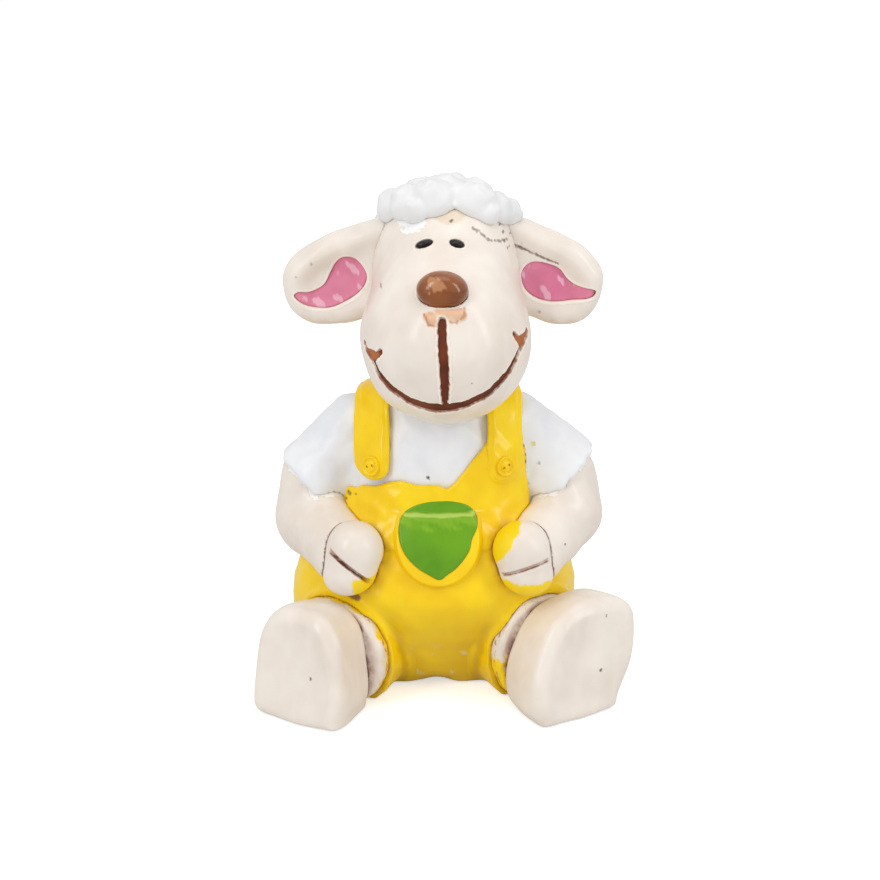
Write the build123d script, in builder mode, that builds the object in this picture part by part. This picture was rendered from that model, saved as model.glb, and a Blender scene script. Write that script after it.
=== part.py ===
from build123d import *
import math
import os

# Seated sheep figurine in dungarees, about 61 mm tall, cast in resin and painted.
# Millimetres and degrees. +Z is up, the sheep faces -Y, and it stands on the plane z = 0.
# Left and right are the sheep's own: its left side is at +X.

# Joints: each outer piece is whole, and its carrier has a socket wider by the film of glue
glue = 0.05
overrun = 4.0  # how far a cutting tool runs past what it cuts

# Body: chest, belly and hips are egg shapes that grow into one another
body_x = -0.9
body_y = 3.0
chest_rx = 11.5
chest_ry = 9.0
chest_rz = 11.0
chest_z = 26.0
belly_rx = 15.2
belly_ry = 12.6
belly_rz = 14.6
belly_z = 12.5
hips_rx = 15.8
hips_ry = 12.8
hips_rz = 11.6
hips_x = -1.5
hips_y = 3.0
hips_z = 8.6
waist_z = 21.4

# Shirt sleeves, which widen from the shoulder to the hem
sleeve_top_x = 9.4
sleeve_top_y = 3.0
sleeve_top_z = 31.6
sleeve_top_r = 4.2
sleeve_hem_x = 14.6
sleeve_hem_y = 2.4
sleeve_hem_z = 25.6
sleeve_hem_r = 5.2

# Dungarees: the cloth stands proud of the shirt, and its bib climbs higher on the left
cloth = 0.6
bib_half_width = 10.8
bib_height = 9.6
bib_shares = [
    (-1.04, -0.3),
    (-1.02, 0.42),
    (-0.57, 0.45),
    (0.0, 0.48),
    (0.25, 0.5),
    (0.44, 0.65),
    (0.71, 0.94),
    (0.98, 1.0),
    (1.0, 0.3),
    (0.98, -0.3),
]

# Pocket rim on the bib and the patch inside it
pocket_r = 5.0
pocket_z = 20.3
pocket_rise = 0.5
patch_r = 4.3
patch_rise = 0.3

# Straps and their buttons
strap_x = 7.7
strap_width = 4.2
strap_rise = 0.6
strap_end_z = 26.4
strap_back_x = 3.6
button_r = 1.15
button_z = 28.0
button_rise = 0.45
button_eye_r = 0.22
button_eye_x = 0.42

# Neck spigot between the shirt and the head
neck_r = 5.0
neck_y = 3.0
neck_z = 31.5
neck_length = 14.0

# Head: skull and muzzle with a soft brow between them, and a nape that comes down to the collar
skull_rx = 8.3
skull_ry = 8.4
skull_rz = 7.6
skull_y = 2.0
skull_z = 51.0
muzzle_rx = 9.6
muzzle_ry = 9.8
muzzle_rz = 9.7
muzzle_y = -5.0
muzzle_z = 43.4
brow_blend = 4.0
nape_rx = 7.4
nape_ry = 6.8
nape_rz = 8.8
nape_y = 2.8
nape_z = 44.6

# Nose and eyes
nose_rx = 2.85
nose_ry = 2.1
nose_rz = 2.15
nose_y = -11.4
nose_z = 50.9
eye_rx = 1.0
eye_ry = 0.5
eye_rz = 0.48
eye_x = 1.75
eye_y = -5.4
eye_z = 54.5
eye_tilt = 14.0

# Mouth: a smile and the line from it to the nose, both grooves with a sunk brown fill
line_width = 0.85
line_depth = 0.8
line_sunk = 0.3
smile_right_x = -7.6
smile_right_z = 43.2
smile_left_x = 8.2
smile_left_z = 44.6
smile_low_z = 38.0
fork_width = 1.5
fork_height = 1.2
lip_top_z = 48.2

# Ears: drooping plates with round edges and sunk linings
ear_half_width = 7.0
ear_half_height = 5.9
ear_thickness = 4.4
ear_edge = 1.9
ear_corner = 2.9
ear_x = 11.7
ear_y = 2.5
ear_z = 48.9
lining_depth = 0.6
lining_sunk = 0.15
lining_corner = 0.5
# Outlines outwards and up from an ear's middle, as shares of its half sizes
ear_shares = [
    (0.88, -0.98),
    (1.08, -0.2),
    (0.8, 0.74),
    (-0.15, 1.1),
    (-0.95, 1.0),
    (-0.95, -0.1),
    (-0.3, -1.04),
]
right_lining_shares = [
    (-0.38, 0.12),
    (-0.16, 0.42),
    (0.1, 0.36),
    (0.3, -0.1),
    (0.78, -0.34),
    (0.78, -0.54),
    (0.24, -0.62),
    (-0.24, -0.36),
]
left_lining_shares = [
    (-0.46, 0.04),
    (-0.26, 0.32),
    (0.16, 0.24),
    (0.48, -0.18),
    (0.86, -0.3),
    (0.82, -0.5),
    (0.24, -0.54),
    (-0.32, -0.38),
]

# Wool cap: a layer over the crown with curls in rings round an axis that leans back
wool = 1.3
hairline_lean = 30.0
hairline_angle = 74.0
curl_r = 2.7
curl_ring_step = 27.0
curl_ring_counts = [1, 6, 10]

# Arms: shoulder inside the sleeve, elbow and wrist, with a hand let into the wrist
shoulder_x = 13.4
shoulder_y = 3.0
shoulder_z = 27.4
shoulder_r = 3.9
elbow_x = 15.0
elbow_y = 2.0
elbow_z = 18.4
elbow_r = 4.4
joint_swell = 0.2  # how far the shoulder and elbow stand out from the stretches between them
wrist_share = 0.8  # of the way from the elbow to the middle of the hand
wrist_r = 3.8
hand_x = 10.0
hand_y = -8.4
hand_z = 17.9
hand_r = 3.4
hand_half_length = 4.0
hand_lean = 14.0
thumb_slit = 0.5
thumb_slit_depth = 1.3
thumb_slit_tilt = 24.0

# Legs and cuffs, square to the soles
leg_r = 7.1
leg_z = 6.3
leg_length = 9.0
leg_taper = 0.5
cuff_r = 6.7
cuff_length = 1.4

# Feet: thick slabs that stand on edge, with their soles to the front
foot_half_width = 6.2
foot_height = 13.4
foot_thickness = 6.6
foot_corner = 2.6
foot_edge = 1.6
right_foot_x = -16.9
right_foot_y = -13.0
right_foot_turn = -31.0
left_foot_x = 15.3
left_foot_y = -11.7
left_foot_turn = 34.0
right_sole_shares = [(-0.96, 0.0), (-0.99, 0.36), (-0.6, 0.98), (0.5, 1.0), (1.02, 0.5), (0.98, 0.0)]
left_sole_shares = [(-0.92, 0.0), (-1.12, 0.34), (-0.6, 0.96), (1.05, 1.0), (1.3, 0.72), (0.86, 0.0)]

SIDES = {"right": -1, "left": 1}
FOOT = {
    "right": (right_foot_x, right_foot_y, right_foot_turn, right_sole_shares),
    "left": (left_foot_x, left_foot_y, left_foot_turn, left_sole_shares),
}
LINING = {"right": right_lining_shares, "left": left_lining_shares}
FIGURE_DEPTH = hips_y + hips_ry - muzzle_y + muzzle_ry


def egg(centre, radii, turn=(0, 0, 0), grow=0.0):
    """An egg shape with three half sizes, each of them longer by grow."""
    with BuildPart() as shape:
        Sphere(1)
        scale(by=tuple(radius + grow for radius in radii))
    return shape.part.moved(Location(centre, turn))


def body_form(grow=0.0):
    """Chest, belly and hips as one form, cut level where the figurine stands."""
    with BuildPart() as shape:
        add(egg((body_x, body_y, chest_z), (chest_rx, chest_ry, chest_rz), grow=grow))
        add(egg((body_x, body_y, belly_z), (belly_rx, belly_ry, belly_rz), grow=grow))
        add(egg((hips_x, hips_y, hips_z), (hips_rx, hips_ry, hips_rz), grow=grow))
        split(bisect_by=Plane.XY, keep=Keep.TOP)
    return shape.part


def sleeve_form(side, grow=0.0):
    """A short sleeve that widens from the shoulder to its hem."""
    top = Vector(body_x + side * sleeve_top_x, sleeve_top_y, sleeve_top_z)
    hem = Vector(body_x + side * sleeve_hem_x, sleeve_hem_y, sleeve_hem_z)
    with BuildPart() as shape:
        add(cone_between(top, hem, sleeve_top_r, sleeve_hem_r, grow))
        with Locations(top):
            Sphere(sleeve_top_r + grow)
    return shape.part


def shirt_form(grow=0.0):
    """The trunk with both sleeves."""
    with BuildPart() as shape:
        add(body_form(grow))
        for side in SIDES.values():
            add(sleeve_form(side, grow))
    return shape.part


def muzzle_form(grow=0.0):
    """The round muzzle alone."""
    return egg((0, muzzle_y, muzzle_z), (muzzle_rx, muzzle_ry, muzzle_rz), grow=grow)


def skull_form(grow=0.0):
    """The skull alone."""
    return egg((0, skull_y, skull_z), (skull_rx, skull_ry, skull_rz), grow=grow)


def head_form(grow=0.0):
    """Skull and muzzle with a soft brow between them."""
    with BuildPart() as shape:
        add(skull_form(grow))
        add(muzzle_form(grow))
        fillet(shape.edges().sort_by(SortBy.LENGTH)[-1], brow_blend)
        add(egg((0, nape_y, nape_z), (nape_rx, nape_ry, nape_rz), grow=grow))
    return shape.part


def neck_form(grow=0.0):
    """The round spigot that carries the head."""
    with BuildPart() as shape:
        with Locations((body_x / 2, neck_y, neck_z - grow)):
            Cylinder(neck_r + grow, neck_length + 2 * grow, align=(Align.CENTER, Align.CENTER, Align.MIN))
    return shape.part


def nose_form(grow=0.0):
    """The oval nose."""
    return egg((0, nose_y, nose_z), (nose_rx, nose_ry, nose_rz), grow=grow)


def eye_form(side, grow=0.0):
    """A small oval eye, higher at its inner end."""
    return egg((side * eye_x, eye_y, eye_z), (eye_rx, eye_ry, eye_rz), (0, side * eye_tilt, 0), grow)


def ear_outline(shares, side, corner, grow=0.0):
    """A face with round corners drawn on an ear, seen from the front."""
    points = [(side * (ear_x + u * ear_half_width), ear_z + v * ear_half_height) for u, v in shares]
    with BuildSketch() as outline:
        with BuildLine():
            Polyline(*points, close=True)
        make_face()
        if grow:
            offset(amount=grow, kind=Kind.INTERSECTION)
        fillet(vertices(), corner + grow)
    return outline.sketch


def ear_form(side, grow=0.0):
    """A whole ear: a plate with round edges whose root sinks into the head."""
    with BuildPart() as shape:
        with BuildSketch(Plane.XZ.offset(-ear_y - ear_thickness / 2 - grow)):
            add(ear_outline(ear_shares, side, ear_corner, grow))
        extrude(amount=ear_thickness + 2 * grow)
        fillet(shape.edges().filter_by(Axis.Y, reverse=True), ear_edge)
    return shape.part


def cone_between(start, end, start_r, end_r, grow=0.0):
    """A straight stretch of a limb from one point to another, longer by grow at its far end."""
    along = end - start
    with BuildPart() as shape:
        with BuildSketch(Plane(start, z_dir=along)):
            Circle(start_r + grow)
        with BuildSketch(Plane(end, z_dir=along).offset(grow)):
            Circle(end_r + grow)
        loft(ruled=True)
    return shape.part


def arm_form(side, grow=0.0):
    """A whole arm, bent at the elbow and cut square at the wrist."""
    shoulder = Vector(body_x + side * shoulder_x, shoulder_y, shoulder_z)
    elbow = Vector(body_x + side * elbow_x, elbow_y, elbow_z)
    hand = Vector(body_x + side * hand_x, hand_y, hand_z)
    wrist = elbow + (hand - elbow) * wrist_share
    with BuildPart() as shape:
        with Locations(shoulder):
            Sphere(shoulder_r + joint_swell + grow)
        with Locations(elbow):
            Sphere(elbow_r + joint_swell + grow)
        add(cone_between(shoulder, elbow, shoulder_r, elbow_r, grow))
        add(cone_between(elbow, wrist, elbow_r, wrist_r, grow))
    return shape.part


def hand_form(side, grow=0.0):
    """A mitten-shaped hand."""
    centre = (body_x + side * hand_x, hand_y, hand_z)
    return egg(centre, (hand_r, hand_r, hand_half_length), (0, -side * hand_lean, 0), grow)


def foot_plane(name):
    """The plane of one sole: x across it, y up, z out of its face, with its zero on the ground."""
    x, y, turn, _ = FOOT[name]
    across = Vector(1, 0, 0).rotate(Axis.Z, turn)
    return Plane((x, y, 0), x_dir=across, z_dir=across.cross(Vector(0, 0, 1)))


def cuff_form(name, grow=0.0):
    """The turned-up end of one trouser leg, behind the foot."""
    with BuildPart() as shape:
        with BuildSketch(foot_plane(name).offset(grow - foot_thickness - glue)):
            with Locations((0, leg_z)):
                Circle(cuff_r + grow)
        extrude(amount=-cuff_length - 2 * grow)
    return shape.part


def leg_form(name, grow=0.0):
    """A trouser leg that narrows a little towards the hips."""
    hem = foot_plane(name).offset(-(foot_thickness + cuff_length + 2 * glue))
    with BuildPart() as shape:
        with BuildSketch(hem.offset(grow)):
            with Locations((0, leg_z)):
                Circle(leg_r + grow)
        with BuildSketch(hem.offset(-leg_length - grow)):
            with Locations((0, leg_z)):
                Circle(leg_r - leg_taper + grow)
        loft(ruled=True)
        split(bisect_by=Plane.XY, keep=Keep.TOP)
    return shape.part


def bib_outline(grow=0.0):
    """The bib seen from the front."""
    points = [(body_x + u * bib_half_width, waist_z + v * bib_height) for u, v in bib_shares]
    with BuildSketch() as outline:
        with BuildLine():
            Polyline(*points, close=True)
        make_face()
        if grow:
            offset(amount=grow, kind=Kind.INTERSECTION)
    return outline.sketch


def smile_outline(grow=0.0):
    """The smile seen from the front, forked at both ends."""
    ends = ((smile_right_x, smile_right_z), (smile_left_x, smile_left_z))
    with BuildSketch() as outline:
        with BuildLine():
            ThreePointArc(ends[0], (0, smile_low_z), ends[1])
            for x, z in ends:
                Line((x, z), (x - fork_width / 2, z + fork_height))
                Line((x, z), (x + fork_width / 2, z + fork_height))
        trace(line_width=line_width + 2 * grow)
    return outline.sketch


def lip_outline(grow=0.0):
    """The line between the smile and the nose seen from the front."""
    with BuildSketch() as outline:
        with BuildLine():
            Line((0, smile_low_z), (0, lip_top_z + grow))
        trace(line_width=line_width + 2 * grow)
    return outline.sketch


def front_prism(outline, y):
    """A face drawn from the front, run forward from y through everything before it."""
    with BuildPart() as shape:
        with BuildSketch(Plane.XZ.offset(-y)):
            add(outline)
        extrude(amount=FIGURE_DEPTH + overrun)
    return shape.part


def uncovered_form(grow=0.0):
    """The chest above the waist, at the sides and back that the bib leaves uncovered."""
    with BuildPart() as shape:
        add(body_form(grow).split(Plane.XY.offset(waist_z), keep=Keep.TOP))
        add(front_prism(bib_outline(), body_y), mode=Mode.SUBTRACT)
    return shape.part


def write(part, name):
    """Labels one finished piece and writes it."""
    part.label = name
    export_step(part, f"parts/{name}.step")


os.makedirs("parts", exist_ok=True)

# Forms that several pieces are cut by
shirt_seat = shirt_form(glue)
head_seat = head_form(glue)

# Neck
write(neck_form(), "neck")

# Shirt: bored for the neck, with sockets for the arms and a seat for the chin
with BuildPart() as shirt:
    add(shirt_form())
    split(bisect_by=Plane.XY.offset(waist_z + glue), keep=Keep.TOP)
    add(neck_form(glue), mode=Mode.SUBTRACT)
    add(head_seat, mode=Mode.SUBTRACT)
    for side in SIDES.values():
        add(arm_form(side, glue), mode=Mode.SUBTRACT)
write(shirt.part, "shirt")

# Dungarees: solid below the waist, with the bib as a layer over the shirt
with BuildPart() as dungarees:
    add(body_form(cloth))
    add(uncovered_form(cloth + glue), mode=Mode.SUBTRACT)
    add(shirt_seat.split(Plane.XY.offset(waist_z), keep=Keep.TOP), mode=Mode.SUBTRACT)
    for name, side in SIDES.items():
        add(leg_form(name, glue), mode=Mode.SUBTRACT)
        add(cuff_form(name, glue), mode=Mode.SUBTRACT)
        add(arm_form(side, glue), mode=Mode.SUBTRACT)
        add(hand_form(side, glue), mode=Mode.SUBTRACT)
write(dungarees.part, "dungarees")

# Pocket: a raised rim round a patch of its own
with BuildSketch() as pocket_outline:
    with Locations((body_x, pocket_z)):
        Circle(pocket_r)
        Circle(patch_r + glue, mode=Mode.SUBTRACT)
with BuildSketch() as patch_outline:
    with Locations((body_x, pocket_z)):
        Circle(patch_r)
cloth_seat = body_form(cloth + glue)
for name, outline, rise in (
    ("pocket_rim", pocket_outline, pocket_rise),
    ("pocket_patch", patch_outline, patch_rise),
):
    with BuildPart() as applied:
        add(body_form(cloth + rise))
        add(front_prism(outline.sketch, body_y), mode=Mode.INTERSECT)
        add(cloth_seat, mode=Mode.SUBTRACT)
    write(applied.part, name)

# Straps: from the bib over each shoulder and down the back to the waist, closing in there
with BuildPart() as strap_bed:
    add(cloth_seat)
    add(front_prism(bib_outline(glue), body_y + glue), mode=Mode.INTERSECT)
    add(shirt_seat)
strap_surface = shirt_form(cloth + strap_rise)
button_seat = shirt_form(cloth + strap_rise + glue)
button_surface = shirt_form(cloth + strap_rise + button_rise)
for name, side in SIDES.items():
    middle_x = body_x + side * strap_x
    back_x = body_x + side * strap_back_x
    half = strap_width / 2
    with BuildPart() as strap_path:
        with BuildSketch(Plane.XZ.offset(-body_y)):
            with Locations((middle_x, strap_end_z)):
                Rectangle(strap_width, chest_z + chest_rz - strap_end_z, align=(Align.CENTER, Align.MIN))
            with Locations((middle_x, strap_end_z)):
                Circle(half)
        extrude(amount=FIGURE_DEPTH)
        with BuildSketch(Plane.XZ.offset(-body_y)):
            with BuildLine():
                Polyline(
                    (middle_x - half, chest_z + chest_rz),
                    (back_x - half, waist_z),
                    (back_x + half, waist_z),
                    (middle_x + half, chest_z + chest_rz),
                    close=True,
                )
            make_face()
        extrude(amount=-FIGURE_DEPTH)
    with BuildPart() as strap:
        add(strap_surface)
        add(strap_path.part, mode=Mode.INTERSECT)
        split(bisect_by=Plane.XY.offset(waist_z + glue), keep=Keep.TOP)
        add(strap_bed.part, mode=Mode.SUBTRACT)
        add(head_seat, mode=Mode.SUBTRACT)
        add(neck_form(glue), mode=Mode.SUBTRACT)
    write(strap.part, f"strap_{name}")
    with BuildSketch() as button_outline:
        with Locations((middle_x, button_z)):
            Circle(button_r)
        with Locations((middle_x - button_eye_x, button_z), (middle_x + button_eye_x, button_z)):
            Circle(button_eye_r, mode=Mode.SUBTRACT)
    with BuildPart() as button:
        add(button_surface)
        add(front_prism(button_outline.sketch, body_y), mode=Mode.INTERSECT)
        add(button_seat, mode=Mode.SUBTRACT)
    write(button.part, f"button_{name}")

# Arms, with the hand let into the end of each, and hands with a slit between thumb and palm
for name, side in SIDES.items():
    with BuildPart() as arm:
        add(arm_form(side))
        add(hand_form(side, glue), mode=Mode.SUBTRACT)
    write(arm.part, f"arm_{name}")
    slit_middle = Vector(body_x + side * hand_x, hand_y - hand_r, hand_z)
    slit_plane = Plane(slit_middle, x_dir=(1, 0, 0), z_dir=(0, 0, 1)).rotated((0, side * -thumb_slit_tilt, 0))
    with BuildPart() as hand:
        add(hand_form(side))
        with BuildSketch(slit_plane.offset(-thumb_slit / 2)):
            Rectangle(2 * hand_r, 2 * thumb_slit_depth)
        extrude(amount=thumb_slit, mode=Mode.SUBTRACT)
    write(hand.part, f"hand_{name}")

# Legs, cuffs and feet
for name in SIDES:
    write(leg_form(name), f"trouser_leg_{name}")
    sole = foot_plane(name)
    write(cuff_form(name), f"cuff_{name}")
    shares = FOOT[name][3]
    with BuildPart() as foot:
        with BuildSketch(sole):
            with BuildLine():
                Polyline(*[(u * foot_half_width, v * foot_height) for u, v in shares], close=True)
            make_face()
            fillet(vertices(), foot_corner)
        extrude(amount=-foot_thickness)
        fillet(faces().sort_by(Axis.Y)[0].edges(), foot_edge)
    write(foot.part, f"foot_{name}")

# Nose and eyes
write(nose_form(), "nose")
for name, side in SIDES.items():
    write(eye_form(side), f"eye_{name}")

# Mouth fills, and the grooves that hold them
mouth_floor = muzzle_form(-line_depth)
mouth_face = muzzle_form(-line_sunk)
smile_seat_prism = front_prism(smile_outline(glue), muzzle_y + glue)
with BuildPart() as smile_line:
    add(mouth_face)
    add(front_prism(smile_outline(), muzzle_y), mode=Mode.INTERSECT)
    add(mouth_floor, mode=Mode.SUBTRACT)
write(smile_line.part, "smile_line")
with BuildPart() as lip_line:
    add(mouth_face)
    add(front_prism(lip_outline(), muzzle_y), mode=Mode.INTERSECT)
    add(mouth_floor, mode=Mode.SUBTRACT)
    add(smile_seat_prism, mode=Mode.SUBTRACT)
write(lip_line.part, "lip_line")
with BuildPart() as mouth_grooves:
    add(smile_seat_prism)
    add(front_prism(lip_outline(glue), muzzle_y + glue))
    add(muzzle_form(-line_depth - glue), mode=Mode.SUBTRACT)

# Ears, each with a sunk lining
for name, side in SIDES.items():
    ear_front = Plane.XZ.offset(ear_thickness / 2 - ear_y)
    with BuildPart() as lining:
        with BuildSketch(ear_front.offset(-lining_depth)):
            add(ear_outline(LINING[name], side, lining_corner))
        extrude(amount=lining_depth - lining_sunk)
    write(lining.part, f"ear_lining_{name}")
    with BuildPart() as ear:
        add(ear_form(side))
        with BuildSketch(ear_front.offset(-lining_depth - glue)):
            add(ear_outline(LINING[name], side, lining_corner, glue))
        extrude(amount=lining_depth + overrun, mode=Mode.SUBTRACT)
    write(ear.part, f"ear_{name}")

# Head: bored for the neck, with sockets for the ears, the nose and the eyes
with BuildPart() as head:
    add(head_form())
    add(neck_form(glue), mode=Mode.SUBTRACT)
    add(nose_form(glue), mode=Mode.SUBTRACT)
    for side in SIDES.values():
        add(ear_form(side, glue), mode=Mode.SUBTRACT)
        add(eye_form(side, glue), mode=Mode.SUBTRACT)
    add(mouth_grooves.part, mode=Mode.SUBTRACT)
write(head.part, "head")

# Wool cap: every curl sits on the skull, and the layer under them closes the gaps
cap_plane = Plane(
    (0, skull_y, skull_z),
    x_dir=(1, 0, 0),
    z_dir=Vector(0, 0, 1).rotate(Axis.X, -hairline_lean),
)
with BuildPart() as wool_cap:
    add(skull_form(wool))
    split(bisect_by=cap_plane.offset(skull_rz * math.cos(math.radians(hairline_angle))), keep=Keep.TOP)
    for ring, count in enumerate(curl_ring_counts):
        for curl in range(count):
            around = Vector(1, 0, 0).rotate(Axis.Z, 360 * (curl + ring / 2) / count)
            out = Vector(0, 0, 1).rotate(Axis((0, 0, 0), around), ring * curl_ring_step)
            out = cap_plane.from_local_coords(out) - cap_plane.origin
            centre = cap_plane.origin + Vector(out.X * skull_rx, out.Y * skull_ry, out.Z * skull_rz)
            with Locations(centre):
                Sphere(curl_r)
    add(head_seat, mode=Mode.SUBTRACT)
    for side in SIDES.values():
        add(ear_form(side, glue), mode=Mode.SUBTRACT)
write(wool_cap.part, "wool_cap")
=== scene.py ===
"""Looks of a small seated sheep figurine of painted and varnished cast resin.

All forms are signed distances in millimetres, x to the right seen from the front, -y to the front
and z up. Every piece is meshed from its own form and painted with node materials.
"""

import math
from functools import partial

import bpy
import numpy as np
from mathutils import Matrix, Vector


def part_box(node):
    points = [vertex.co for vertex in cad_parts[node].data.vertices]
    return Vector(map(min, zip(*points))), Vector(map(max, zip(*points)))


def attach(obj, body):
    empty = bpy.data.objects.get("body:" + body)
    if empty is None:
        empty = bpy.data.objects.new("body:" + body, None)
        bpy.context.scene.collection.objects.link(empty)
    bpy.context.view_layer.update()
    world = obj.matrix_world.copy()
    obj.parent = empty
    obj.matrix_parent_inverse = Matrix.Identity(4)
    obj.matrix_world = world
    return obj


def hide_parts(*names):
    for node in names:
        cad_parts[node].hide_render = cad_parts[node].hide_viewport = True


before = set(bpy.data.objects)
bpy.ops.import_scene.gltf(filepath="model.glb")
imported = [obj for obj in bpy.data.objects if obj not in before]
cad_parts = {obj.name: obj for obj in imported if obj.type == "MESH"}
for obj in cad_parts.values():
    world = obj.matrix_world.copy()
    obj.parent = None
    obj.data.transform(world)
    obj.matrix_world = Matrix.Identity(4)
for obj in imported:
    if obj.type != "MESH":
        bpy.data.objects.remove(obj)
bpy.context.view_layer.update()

MM = 0.001
SIDES = {"right": -1, "left": 1}  # the sheep's own, with the sign of x
BODY_X, BODY_Y = -0.9, 3.0  # axis of the trunk
WAIST_Z = 21.4  # top of the dungarees at the back
CLOTH = 0.6  # how far the dungarees stand out of the trunk
JOINT_GAP = 0.03  # between a piece and the one that it is set into
FAR = 9.0  # a distance that stands for nothing near

# Forms


def turned(rx, ry, rz):
    """Rotation matrix of turns about x, then y, then z, in degrees."""
    a, b, c = (math.radians(t) for t in (rx, ry, rz))
    mx = np.array([[1, 0, 0], [0, math.cos(a), -math.sin(a)], [0, math.sin(a), math.cos(a)]])
    my = np.array([[math.cos(b), 0, math.sin(b)], [0, 1, 0], [-math.sin(b), 0, math.cos(b)]])
    mz = np.array([[math.cos(c), -math.sin(c), 0], [math.sin(c), math.cos(c), 0], [0, 0, 1]])
    return mz @ my @ mx


def egg(centre, radii, turn=(0, 0, 0)):
    """Ellipsoid."""
    centre, radii, m = np.array(centre, float), np.array(radii, float), turned(*turn)

    def form(p):
        q = ((p - centre) @ m) / radii
        k = np.sqrt((q * q).sum(1)) + 1e-9
        g = np.sqrt(((q / radii) ** 2).sum(1)) + 1e-9
        return k * (k - 1) / g

    return form


def limb(a, b, ra, rb):
    """Cone with round ends."""
    a, b = np.array(a, float), np.array(b, float)
    ab = b - a
    length2 = float(ab @ ab)

    def form(p):
        h = np.clip((p - a) @ ab / length2, 0, 1)
        return np.sqrt(((p - a - h[:, None] * ab) ** 2).sum(1)) - (ra + (rb - ra) * h)

    return form


def chain(points, radii):
    """Tube along a row of points."""
    return union([limb(*ends) for ends in zip(points[:-1], points[1:], radii[:-1], radii[1:])])


def union(forms):
    """All of some forms in one."""

    def form(p):
        d = forms[0](p)
        for other in forms[1:]:
            d = np.minimum(d, other(p))
        return d

    return form


def blend(a, b, k):
    """Smooth union of two distances."""
    h = np.clip(0.5 + 0.5 * (b - a) / k, 0, 1)
    return b + (a - b) * h - k * h * (1 - h)


def carve(a, b, k):
    """What is left of a when b is cut out, with a soft edge."""
    return -blend(-a, b, k)


def both(a, b, k):
    """What two forms share, with a soft edge."""
    return -blend(-a, -b, k)


def step_up(x, low, high):
    """Smooth rise from 0 to 1."""
    t = np.clip((x - low) / (high - low), 0, 1)
    return t * t * (3 - 2 * t)


def step_down(x, low, high):
    return 1 - step_up(x, low, high)


def over(x):
    """1 where x is past 0, with the narrow edge of a paint lap."""
    return step_up(x, -0.12, 0.12)


def wobble(size, amount, seed):
    """Slow unevenness of a hand-made surface."""
    r = np.random.default_rng(seed)
    waves = []
    for _ in range(6):
        d = r.normal(size=3)
        d *= 2 * math.pi / size * r.uniform(0.7, 1.4) / np.linalg.norm(d)
        waves.append((d, r.uniform(0, 2 * math.pi)))

    def field(p):
        return sum(np.sin(p @ d + s) for d, s in waves) * (amount / 2.4)

    return field


def smooth_outline(points, samples=4):
    """Closed curve through the points."""
    c = np.array(points, float)
    p0, p1, p2, p3 = np.roll(c, 1, 0), c, np.roll(c, -1, 0), np.roll(c, -2, 0)
    square, cube = 2 * p0 - 5 * p1 + 4 * p2 - p3, 3 * p1 - p0 - 3 * p2 + p3
    steps = [s / samples for s in range(samples)]
    rows = [0.5 * (2 * p1 + (p2 - p0) * t + square * t * t + cube * t**3) for t in steps]
    return np.stack(rows, 1).reshape(-1, 2)


def outline_distance(points):
    """Distance to a closed outline, less than 0 inside it."""
    a = np.array(points, float)
    b = np.roll(a, -1, 0)

    def field(x, y):
        d = np.full(x.shape, 1e9)
        sign = np.ones(x.shape)
        for (ax, ay), (bx, by) in zip(a, b):
            ex, ey, wx, wy = bx - ax, by - ay, x - ax, y - ay
            h = np.clip((wx * ex + wy * ey) / (ex * ex + ey * ey), 0, 1)
            d = np.minimum(d, (wx - ex * h) ** 2 + (wy - ey * h) ** 2)
            c1, c2, c3 = y >= ay, y < by, ex * wy > ey * wx
            sign = np.where((c1 & c2 & c3) | (~c1 & ~c2 & ~c3), -sign, sign)
        return sign * np.sqrt(d)

    return field


def fields(outlines):
    """The distance field of each side's outline."""
    return {s: outline_distance(smooth_outline(points)) for s, points in outlines.items()}


def slab(d2, w, half, edge):
    """An outline distance run to a thickness, with a round edge."""
    a, b = d2 + edge, np.abs(w) - half + edge
    return np.minimum(np.maximum(a, b), 0) + np.hypot(np.maximum(a, 0), np.maximum(b, 0)) - edge


# Meshing: surface nets in the blocks that the surface runs through, then settled on the form


def gradient(form, p, h=0.02):
    g = np.empty_like(p)
    for i in range(3):
        e = np.zeros(3)
        e[i] = h
        g[:, i] = form(p + e) - form(p - e)
    return g / (2 * h)


def unit(v):
    """Rows made one long."""
    return v / (np.sqrt((v * v).sum(1))[:, None] + 1e-9)


def in_chunks(form, p, size=400000):
    return np.concatenate([form(p[i : i + size]) for i in range(0, len(p), size)])


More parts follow.
